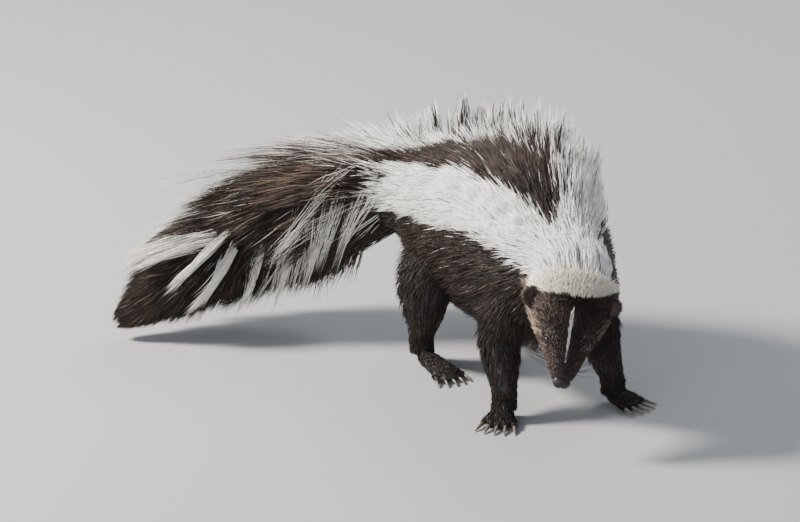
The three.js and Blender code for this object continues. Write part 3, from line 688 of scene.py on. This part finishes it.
def eye_places():
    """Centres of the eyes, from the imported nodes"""
    found = []
    for name in ("eye_left", "eye_right"):
        low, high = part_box(name)
        found.append(np.array((low + high) / 2) * 1000 - SHIFT)
    return found


EYES = eye_places()
EYE_RADIUS = 4.1
EYE_STATION, EYE_TURN = 2.7, 0.15


def head_coat(count):
    coat = Coat(Coat.SHORT)
    where, turn = spread_over(spine, -0.12, 5.85, int(count * AMOUNT))
    cap_at, cap_turn = spread_over(spine, 5.2, 5.8, int(count * 0.42 * AMOUNT))
    upper = np.abs(signed_turn(cap_turn)) < 0.27
    where, turn = np.append(where, cap_at[upper]), np.append(turn, cap_turn[upper])
    root = spine.point(where, turn, -0.05)
    out = spine.out(where, turn)
    clear = np.ones(len(where), bool)
    for eye in EYES:
        clear &= np.linalg.norm(root - eye, axis=1) > EYE_RADIUS + 0.4
    where, turn, root, out = where[clear], turn[clear], root[clear], out[clear]
    signed = signed_turn(turn)
    total = len(where)
    length = np.interp(where, [0, 1.5, 3, 4.2, 5.2, 5.6, 6], [2.0, 3.2, 4.4, 6.0, 8.5, 10.0, 11.0])
    length *= 1 + 0.5 * smooth(0.2, 0.3, np.abs(signed)) * smooth(3, 4.5, where)
    length *= RANDOM.uniform(0.7, 1.15, total)
    back = spine.point(where + 0.02, turn) - root
    back /= np.linalg.norm(back, axis=1, keepdims=True) + 1e-9
    round_ = spine.point(where, turn + 0.004) - spine.point(where, turn - 0.004)
    round_ /= np.linalg.norm(round_, axis=1, keepdims=True) + 1e-9
    droop = (0.35 * np.sign(signed) * smooth(0.02, 0.2, np.abs(signed)) + 0.12 * RANDOM.normal(size=total))[:, None]
    lift = RANDOM.uniform(0.16, 0.42, total)[:, None]
    on_cap = smooth(5.1, 5.3, where) * smooth(0.3, 0.2, np.abs(signed))
    lift = lift + RANDOM.uniform(0.2, 1.3, (total, 1)) * on_cap[:, None]
    way = back + round_ * droop + out * lift
    way /= np.linalg.norm(way, axis=1, keepdims=True)
    tip = root + way * length[:, None]
    # Hair near an eye lies round it
    for eye in EYES:
        offset = tip - eye
        gap = np.linalg.norm(offset, axis=1, keepdims=True)
        tip = np.where(gap < EYE_RADIUS + 0.3, eye + offset / gap * (EYE_RADIUS + 0.3), tip)
    white = np.maximum(blaze_share(where, turn), white_share(where, turn, root))
    is_white = white > 0.2 + 0.6 * RANDOM.random(total)
    light = mixed(WHITE_TIP * 0.8, CREAM_TIP, smooth(4.9, 5.1, where))
    # The cheeks and the sides of the snout are browner than the middle of the face
    cheek = smooth(0.03, 0.14, np.abs(signed))
    brown = np.clip(0.25 + 0.55 * cheek + 0.25 * wave(root, 18, 21) + 0.3 * (RANDOM.random(total) - 0.4), 0, 1)
    dark_tip = mixed(BLACK_TIP * 0.8, BROWN_TIP * 1.25, brown)
    # Pale hairs lie thickest round the eyes and towards the nose
    eye_gap = np.min([np.linalg.norm(root - eye, axis=1) for eye in EYES], axis=0)
    near_eye = smooth(10.0, 5.5, eye_gap)
    speckle = RANDOM.random(total) < cheek * (0.05 + 0.16 * smooth(3.4, 1.4, where)) + 0.22 * near_eye
    dark_tip = np.where(speckle[:, None], PALE_BROWN, dark_tip)
    # Longer pale hairs edge the cheeks under the ears
    edge = smooth(0.15, 0.21, np.abs(signed)) * smooth(0.33, 0.27, np.abs(signed)) * smooth(2.9, 3.6, where)
    edge *= smooth(5.2, 4.6, where)
    dark_tip = np.where((RANDOM.random(total) < 0.4 * edge)[:, None], PALE_BROWN * 1.7, dark_tip)
    root_colour = np.where(is_white[:, None], WHITE_ROOT, BLACK_ROOT)
    tip_colour = shaded(np.where(is_white[:, None], light, dark_tip), 0.15)
    width = np.interp(where, [0, 3, 6], [0.45, 0.65, 0.95]) * RANDOM.uniform(0.8, 1.2, total) * FATTEN
    uv = np.stack([turn * 0.99, where / 6.2], 1)
    coat.add(root, tip, out, width, root_colour, tip_colour, uv, bow=0.12)

    # Whiskers stand out from the upper lip
    for hand in (1, -1):
        amount = 16
        places = RANDOM.uniform(0.7, 1.9, amount)
        turns = hand * RANDOM.uniform(0.2, 0.3, amount)
        first = spine.point(places, turns, -0.3)
        outward = spine.out(places, turns)
        way = outward * 0.8 - FACING * RANDOM.uniform(0.5, 0.9, (amount, 1)) + [0, 0, -0.15]
        last = first + way / np.linalg.norm(way, axis=1, keepdims=True) * RANDOM.uniform(16, 30, (amount, 1))
        place = np.stack([np.full(amount, (0.25 * hand) % 1 * 0.99), places / 6.6], 1)
        coat.add(
            first, last, outward, np.full(amount, 0.3),
            np.broadcast_to(BLACK_ROOT, (amount, 3)), np.broadcast_to(BROWN_TIP, (amount, 3)), place, bow=0.1,
        )
    return coat


def node_surface(name, count, chosen=None):
    """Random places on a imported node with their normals, even over its area"""
    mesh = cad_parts[name].data
    mesh.calc_loop_triangles()
    triangles = np.empty(len(mesh.loop_triangles) * 3, np.int32)
    mesh.loop_triangles.foreach_get("vertices", triangles)
    points = np.empty(len(mesh.vertices) * 3, np.float32)
    mesh.vertices.foreach_get("co", points)
    points = points.reshape(-1, 3).astype(float) * 1000 - SHIFT
    a, b, c = (points[triangles[k::3]] for k in range(3))
    normal = np.cross(b - a, c - a)
    area = np.linalg.norm(normal, axis=1)
    normal /= area[:, None] + 1e-12
    if chosen is not None:
        area = area * chosen((a + b + c) / 3, normal)
    pick = RANDOM.choice(len(area), size=count, p=area / area.sum())
    u, v = RANDOM.random((2, count, 1))
    flip = u + v > 1
    u, v = np.where(flip, 1 - u, u), np.where(flip, 1 - v, v)
    return a[pick] + (b[pick] - a[pick]) * u + (c[pick] - a[pick]) * v, normal[pick]


def under_fur(points):
    """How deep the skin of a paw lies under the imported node: more at the ankle than at the toes"""
    return np.interp(points[:, 2], [6, 13], [0.3, 2.0])[:, None]


FOOT_REACH = 46
FOOT_TOP = 27


def add_foot_hair(coat, index, name, body, normals):
    """Short hair on the skin of the foot and ankle, lying down the ankle and then towards the toes"""
    ankle = limbs[name].table[-1, :2]
    near = np.linalg.norm(body[:, :2] - ankle, axis=1) < FOOT_REACH
    near &= (body[:, 2] > 2.2) & (body[:, 2] < FOOT_TOP) & (normals[:, 2] > -0.4)
    chosen = RANDOM.choice(np.flatnonzero(near), size=int(2300 * AMOUNT))
    root, normal = body[chosen], normals[chosen]
    count = len(root)
    root = root + np.cross(normal, RANDOM.normal(size=(count, 3))) * 0.7
    on_foot = smooth(19, 9, root[:, 2])[:, None]
    way = heading_vector(LEGS[name][0]) * on_foot - np.array([0, 0, 1.0]) * (1.15 - on_foot)
    way = way - normal * np.sum(way * normal, axis=1, keepdims=True) + 0.12 * RANDOM.normal(size=(count, 3))
    way /= np.linalg.norm(way, axis=1, keepdims=True)
    way += normal * RANDOM.uniform(0.12, 0.32, (count, 1))
    length = np.interp(root[:, 2], [6, 24], [3.2, 6.0]) * RANDOM.uniform(0.7, 1.15, count)
    tip = above_floor(root + way * length[:, None])
    brown = np.clip(0.1 + 0.5 * smooth(8, 24, root[:, 2]) * RANDOM.random(count), 0, 1)
    uv = np.stack([(RANDOM.random(count) * 0.98 + index) / 4, 0.8 + 0.19 * RANDOM.random(count)], 1)
    coat.add(
        root - normal * 0.3, tip, normal, RANDOM.uniform(0.5, 0.85, count) * FATTEN,
        np.broadcast_to(BLACK_ROOT, (count, 3)), mixed(BLACK_TIP * 0.9, BROWN_TIP * 0.9, brown), uv, bow=0.1,
    )


def leg_coat(count, body, normals):
    coat = Coat(Coat.SHORT)
    each = int(count * AMOUNT / 4)
    for index, (name, limb) in enumerate(limbs.items()):
        where, turn = spread_over(limb, 0.35, 4.4, each)
        root = limb.point(where, turn, 0.0)
        out = limb.out(where, turn)
        length = np.interp(where, [0.3, 1.5, 3, 4, 5], [20, 15, 8.5, 6, 5]) * RANDOM.uniform(0.7, 1.15, each)
        down = limb.point(where + 0.03, turn) - root
        down /= np.linalg.norm(down, axis=1, keepdims=True) + 1e-9
        lift = RANDOM.uniform(0.10, 0.34, each) * (1 - 0.5 * smooth(3.2, 4.9, where))
        way = down + out * lift[:, None] + 0.1 * RANDOM.normal(size=(each, 3))
        # Hair of the legs lies down and to the rear
        way -= heading_vector(LEGS[name][0]) * 0.25
        way /= np.linalg.norm(way, axis=1, keepdims=True)
        tip = above_floor(root + way * length[:, None])
        tip = clumped(root, tip, 7, 0.35, 31 + index)
        brown = np.clip(0.3 + 0.4 * wave(root, 30, 33) + 0.2 * RANDOM.random(each), 0, 0.9)
        light = mixed(BLACK_TIP * 0.9, BROWN_TIP * 0.9, brown) * RANDOM.uniform(0.85, 1.15, (each, 1))
        uv = np.stack([(turn * 0.99 + index) / 4, where / 6.5], 1)
        coat.add(
            root, tip, out, RANDOM.uniform(0.7, 1.15, each) * FATTEN,
            np.broadcast_to(BLACK_ROOT, (each, 3)), light, uv, bow=0.12,
        )
        add_foot_hair(coat, index, name, body, normals)
    return coat


def ear_coat(count):
    coat = Coat(Coat.SHORT)
    for index, name in enumerate(("ear_left", "ear_right")):
        total = int(count * AMOUNT / 2)
        root, normal = node_surface(name, total)
        low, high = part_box(name)
        centre = np.array((low + high) / 2) * 1000 - SHIFT
        hand = 1 if name == "ear_left" else -1
        side = spine.ring(np.array([5.0]))[2][0]
        rise = side * hand * 0.8 - FACING * 0.5
        rise /= np.linalg.norm(rise)
        inside = np.sum((root - centre) * normal, axis=1) < 0
        way = rise + normal * RANDOM.uniform(0.15, 0.5, (total, 1)) + 0.15 * RANDOM.normal(size=(total, 3))
        way /= np.linalg.norm(way, axis=1, keepdims=True)
        height = np.sum((root - centre) * rise, axis=1)
        length = np.where(inside, 2.2, 2.6) * RANDOM.uniform(0.6, 1.2, total)
        tip = root + way * length[:, None]
        rim = smooth(1, 6, height)[:, None]
        light = np.where(inside[:, None], EAR_INSIDE, BLACK_TIP)
        light = shaded(light + (PALE_BROWN * 0.6 - light) * 0.7 * rim, 0.35)
        uv = np.stack([(RANDOM.random(total) * 0.98 + index) / 2, RANDOM.random(total) * 0.98], 1)
        coat.add(
            root - normal * 0.3, tip, normal, RANDOM.uniform(0.35, 0.6, total) * FATTEN,
            np.where(inside[:, None], EAR_INSIDE * 0.4, BLACK_ROOT), light, uv, bow=0.1,
        )
    return coat


# ---- Skin ----
def loft(form, start, stop, around, along, cover=0.0):
    """Vertices and faces of a closed length of a form"""
    where = np.repeat(np.linspace(start, stop, along), around)
    turn = np.tile(np.arange(around) / around, along)
    points = form.point(where, turn, cover)
    faces = []
    for row in range(along - 1):
        for k in range(around):
            a, b = row * around + k, row * around + (k + 1) % around
            faces.append((a, b, b + around, a + around))
    faces.append(tuple(range(around - 1, -1, -1)))
    faces.append(tuple((along - 1) * around + k for k in range(around)))
    return points, faces


def node_mesh(name, smoothing, shrink=None):
    """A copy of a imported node, rounded by subdivision"""
    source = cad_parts[name]
    shape = source.data.copy()
    welded = bmesh.new()
    welded.from_mesh(shape)
    bmesh.ops.remove_doubles(welded, verts=welded.verts, dist=2e-5)
    welded.to_mesh(shape)
    welded.free()
    copy = bpy.data.objects.new("copy", shape)
    bpy.context.scene.collection.objects.link(copy)
    rounding = copy.modifiers.new("round", "SUBSURF")
    rounding.levels = smoothing
    graph = bpy.context.evaluated_depsgraph_get()
    mesh = bpy.data.meshes.new_from_object(copy.evaluated_get(graph))
    bpy.data.objects.remove(copy)
    points = np.empty(len(mesh.vertices) * 3, np.float32)
    mesh.vertices.foreach_get("co", points)
    points = points.reshape(-1, 3).astype(float) * 1000 - SHIFT
    if shrink:
        normals = np.array([v.normal for v in mesh.vertices])
        points -= normals * shrink(points)
    faces = [tuple(p.vertices) for p in mesh.polygons]
    return points, faces


def joined(name, parts):
    """One mesh object from several sets of points and faces"""
    points, faces = [], []
    for some, sides in parts:
        start = sum(len(p) for p in points)
        points.append(some)
        faces += [tuple(i + start for i in side) for side in sides]
    mesh = bpy.data.meshes.new(name)
    mesh.from_pydata(metres(np.concatenate(points)).tolist(), [], faces)
    piece = bpy.data.objects.new(name, mesh)
    bpy.context.scene.collection.objects.link(piece)
    return piece


def remeshed(name, parts, voxel, rounds):
    """The parts fused into one smooth surface"""
    rough = joined(name, parts)
    fuse = rough.modifiers.new("fuse", "REMESH")
    fuse.mode = "VOXEL"
    fuse.voxel_size = voxel / 1000
    even = rough.modifiers.new("even", "SMOOTH")
    even.iterations = rounds
    even.factor = 0.5
    graph = bpy.context.evaluated_depsgraph_get()
    mesh = bpy.data.meshes.new_from_object(rough.evaluated_get(graph))
    bpy.data.objects.remove(rough)
    points = np.empty(len(mesh.vertices) * 3, np.float32)
    mesh.vertices.foreach_get("co", points)
    normals = np.empty(len(mesh.vertices) * 3, np.float32)
    mesh.vertices.foreach_get("normal", normals)
    faces = [tuple(p.vertices) for p in mesh.polygons]
    bpy.data.meshes.remove(mesh)
    return points.reshape(-1, 3).astype(float) * 1000 - SHIFT, normals.reshape(-1, 3).astype(float), faces


def torus(centre, normal, along, radius, thick, stretch):
    """A ring of skin, as points and faces"""
    across = np.cross(normal, along)
    points, faces = [], []
    big, small = 40, 10
    for i in range(big):
        angle = 2 * math.pi * i / big
        way = along * math.cos(angle) * stretch + across * math.sin(angle)
        for j in range(small):
            turn = 2 * math.pi * j / small
            points.append(
                centre + way * radius + (way / np.linalg.norm(way) * math.cos(turn) + normal * math.sin(turn)) * thick
            )
    for i in range(big):
        for j in range(small):
            a, b = i * small + j, i * small + (j + 1) % small
            c, d = ((i + 1) % big) * small + (j + 1) % small, ((i + 1) % big) * small + j
            faces.append((a, b, c, d))
    return np.array(points), faces


# The line of the mouth, as station and turn from the side to the front
MOUTH = np.array([(3.1, 0.33), (2.3, 0.345), (1.4, 0.36), (0.8, 0.375), (0.35, 0.42)])


def eye_frame(eye):
    """The way out of an eye and the direction along the head at it"""
    hand = 1 if eye is EYES[0] else -1
    out = spine.out(np.array([EYE_STATION]), np.array([hand * EYE_TURN]))[0]
    along = -FACING - out * np.dot(-FACING, out)
    return out, along / np.linalg.norm(along)


def skin():
    body_parts = [loft(spine, 5.6, 18.9, 64, 220)]
    body_parts += [loft(limb, 0.1, 4.95, 32, 60) for limb in limbs.values()]
    body_parts += [node_mesh(f"{name}_paw", 2, under_fur) for name in LEGS]
    head_parts = [loft(spine, 0.0, 6.4, 96, 120)]
    head_parts += [node_mesh("ear_left", 2), node_mesh("ear_right", 2)]
    for eye in EYES:
        out, along = eye_frame(eye)
        head_parts.append(torus(eye + out * 2.2, out, along, 3.35, 0.85, 1.15))
    coarse = 1
    body, body_normals, body_faces = remeshed("body", body_parts, 1.7 * coarse, 6)
    head, head_normals, head_faces = remeshed("head", head_parts, 0.75 * coarse, 3)

    # The mouth is a shallow fold with a lip above and below it
    fine = np.linspace(0, len(MOUTH) - 1, 60)
    rows = np.interp(fine, range(len(MOUTH)), MOUTH[:, 0])
    turns = np.interp(fine, range(len(MOUTH)), MOUTH[:, 1])
    line = np.concatenate([
        spine.point(rows, turns), spine.point(rows, 1 - turns),
    ])
    tree = KDTree(len(line))
    for index, place in enumerate(line):
        tree.insert(Vector(place), index)
    tree.balance()
    gap = np.array([tree.find(Vector(place))[2] for place in head])
    depth = -1.1 * np.exp(-((gap / 0.8) ** 2)) + 0.35 * np.exp(-(((gap - 2.0) / 0.9) ** 2))
    head = head + head_normals * depth[:, None]

    faces = body_faces + [tuple(i + len(body) for i in side) for side in head_faces]
    points = np.concatenate([body, head])
    mesh = bpy.data.meshes.new("skin")
    mesh.from_pydata(metres(points).tolist(), [], faces)
    mesh.polygons.foreach_set("use_smooth", np.ones(len(faces), bool))
    paint(mesh, skin_colours(points, len(body), gap))
    mesh.materials.append(skin_material)
    piece = bpy.data.objects.new("skin", mesh)
    bpy.context.scene.collection.objects.link(piece)
    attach(piece, "root")
    flesh = ["head", "neck", "torso", "tail", "ear_left", "ear_right"]
    flesh += [f"{name}_{part}" for name in LEGS for part in ("leg", "paw")]
    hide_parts(*flesh)
    return body, body_normals


def skin_colours(points, body_count, mouth_gap):
    """The coat's markings, carried onto the skin under it"""
    where_grid, turn_grid = np.meshgrid(np.linspace(0, 18.9, 380), np.arange(90) / 90, indexing="ij")
    where, turn = where_grid.ravel(), turn_grid.ravel()
    surface = spine.point(where, turn)
    white = np.maximum(white_share(where, turn, surface), blaze_share(where, turn))
    tree = KDTree(len(surface))
    for index, place in enumerate(surface):
        tree.insert(Vector(place), index)
    tree.balance()
    found = np.array([tree.find(Vector(place))[1:] for place in points])
    near = found[:, 0].astype(int)
    on_trunk = found[:, 1] < 3.5
    share = white[near] * on_trunk
    colours = mixed(BLACK_ROOT * 1.1, WHITE_ROOT * 0.8, share)
    low = points[:, 2] < 14
    colours[low] = PAW_SKIN
    head = points[body_count:]
    colours[body_count:][mouth_gap < 1.0] = BLACK_ROOT * 0.6
    for name in ("ear_left", "ear_right"):
        corner_low, corner_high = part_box(name)
        centre = np.array((corner_low + corner_high) / 2) * 1000 - SHIFT
        close = (np.linalg.norm(head - centre, axis=1) < 12) & ~on_trunk[body_count:]
        colours[body_count:][close] = EAR_INSIDE * 0.55
    return colours


# ---- Eyes, nose and claws ----
def eye_material():
    material, nodes, links, shader = new_material(
        "eye", Roughness=0.08, Specular_IOR_Level=0.16, Coat_Weight=0.55, Coat_Roughness=0.02,
    )
    noise = nodes.new("ShaderNodeTexNoise")
    noise.inputs["Scale"].default_value = 700
    ramp = nodes.new("ShaderNodeValToRGB")
    ramp.color_ramp.elements[0].color = (0.004, 0.003, 0.002, 1)
    ramp.color_ramp.elements[1].color = (0.016, 0.009, 0.006, 1)
    links.new(noise.outputs["Fac"], ramp.inputs["Fac"])
    links.new(ramp.outputs["Color"], shader.inputs["Base Color"])
    return material


def add_eyes():
    material = eye_material()
    for name, centre in zip(("eye_left", "eye_right"), EYES):
        mesh = bpy.data.meshes.new(name)
        piece = bpy.data.objects.new(f"{name}_ball", mesh)
        out, _ = eye_frame(centre)
        rings, around = 28, 40
        points, faces = [], []
        for i in range(rings + 1):
            lat = math.pi * i / rings
            for j in range(around):
                lon = 2 * math.pi * j / around
                points.append((
                    math.sin(lat) * math.cos(lon), math.sin(lat) * math.sin(lon), math.cos(lat),
                ))
        points = np.array(points)
        # The clear front stands a little proud, as a cornea does
        bulge = 1 + 0.07 * smooth(0.75, 0.98, points[:, 2])
        turn = np.array(Vector(out).to_track_quat("Z", "Y").to_matrix())
        world = centre + (points * bulge[:, None] * (EYE_RADIUS - 0.05)) @ turn.T
        for i in range(rings):
            for j in range(around):
                k = (j + 1) % around
                faces.append((i * around + j, (i + 1) * around + j, (i + 1) * around + k, i * around + k))
        mesh.from_pydata(metres(world).tolist(), [], faces)
        mesh.polygons.foreach_set("use_smooth", np.ones(len(faces), bool))
        mesh.materials.append(material)
        bpy.context.scene.collection.objects.link(piece)
        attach(piece, "root")
        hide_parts(name)


def rounded_piece(node, label, material, levels, shape=None):
    """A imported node's own shape, rounded, as a piece of the scene"""
    points, faces = node_mesh(node, levels)
    if shape:
        points = shape(points)
    mesh = bpy.data.meshes.new(label)
    mesh.from_pydata(metres(points).tolist(), [], faces)
    mesh.polygons.foreach_set("use_smooth", np.ones(len(faces), bool))
    mesh.materials.append(material)
    piece = bpy.data.objects.new(label, mesh)
    bpy.context.scene.collection.objects.link(piece)
    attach(piece, "root")
    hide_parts(node)


def nose_shape(points):
    """The groove down the middle of the pad, and the soft wings over the nostrils"""
    side = spine.ring(np.array([0.0]))[2][0]
    over = np.cross(side, -FACING)
    offset = points - NOSE_TIP
    across, up, ahead = offset @ side, offset @ over, offset @ FACING
    front = smooth(-5, -1, ahead)
    groove = 0.9 * np.exp(-((across / 0.7) ** 2)) * front
    wing = 0.5 * np.exp(-(((np.abs(across) - 4.6) / 1.6) ** 2) - ((up - 0.5) / 2.5) ** 2)
    dent = 1.1 * np.exp(-(((np.abs(across) - 4.3) / 1.3) ** 2) - ((up + 1.2) / 0.8) ** 2) * front
    way = offset / (np.linalg.norm(offset, axis=1, keepdims=True) + 1e-6)
    points = points - FACING * (groove + dent)[:, None] + way * wing[:, None]
    # It narrows a little and runs back under the fur of the snout
    rear = smooth(-2.5, -6, ahead)[:, None]
    return points - side * (0.09 * across)[:, None] - FACING * 1.6 * rear


def claw_shape(points):
    """Drawn back from its point, so that its root lies inside the toe"""
    point = points[np.argmin(points[:, 2])]
    return np.maximum(point + (points - point) * [1.22, 1.22, 1.12], [-1e9, -1e9, 0.4])


def add_nose():
    material, nodes, links, shader = new_material(
        "nose", Roughness=0.4, Specular_IOR_Level=0.3, Coat_Weight=0.12, Coat_Roughness=0.18,
    )
    noise = add_bump(nodes, links, shader, 1700, 0.5, 0.0004)
    ramp = nodes.new("ShaderNodeValToRGB")
    ramp.color_ramp.elements[0].color = (0.006, 0.005, 0.005, 1)
    ramp.color_ramp.elements[1].color = (0.026, 0.019, 0.020, 1)
    links.new(noise.outputs["Fac"], ramp.inputs["Fac"])
    links.new(ramp.outputs["Color"], shader.inputs["Base Color"])
    rounded_piece("nose", "nose_pad", material, 3, nose_shape)


def add_claws():
    material, nodes, links, shader = new_material("claw", Roughness=0.38)
    noise = add_bump(nodes, links, shader, 500, 0.2, 0.0002)
    ramp = nodes.new("ShaderNodeValToRGB")
    ramp.color_ramp.elements[0].color = (0.08, 0.06, 0.045, 1)
    ramp.color_ramp.elements[1].color = (0.22, 0.18, 0.14, 1)
    links.new(noise.outputs["Fac"], ramp.inputs["Fac"])
    links.new(ramp.outputs["Color"], shader.inputs["Base Color"])
    for name in LEGS:
        for toe in range(1, 6):
            rounded_piece(f"{name}_claw_{toe}", f"{name}_horn_{toe}", material, 2, claw_shape)


add_camera()
add_studio()
body_points, body_normals = skin()
add_eyes()
add_nose()
add_claws()
trunk_coat(54000).build("coat_trunk", 5, ["neck", "torso"])
tail_coat(24000).build("coat_tail", 3, ["tail"])
tail_locks().build("coat_tail_locks", 1, ["tail"])
head_coat(15000).build("coat_head", 1, ["head"])
ear_coat(1800).build("coat_ears", 1, ["ear_left", "ear_right"])
leg_coat(9000, body_points, body_normals).build("coat_legs", 2, [f"{name}_leg" for name in LEGS])

bpy.context.view_layer.update()
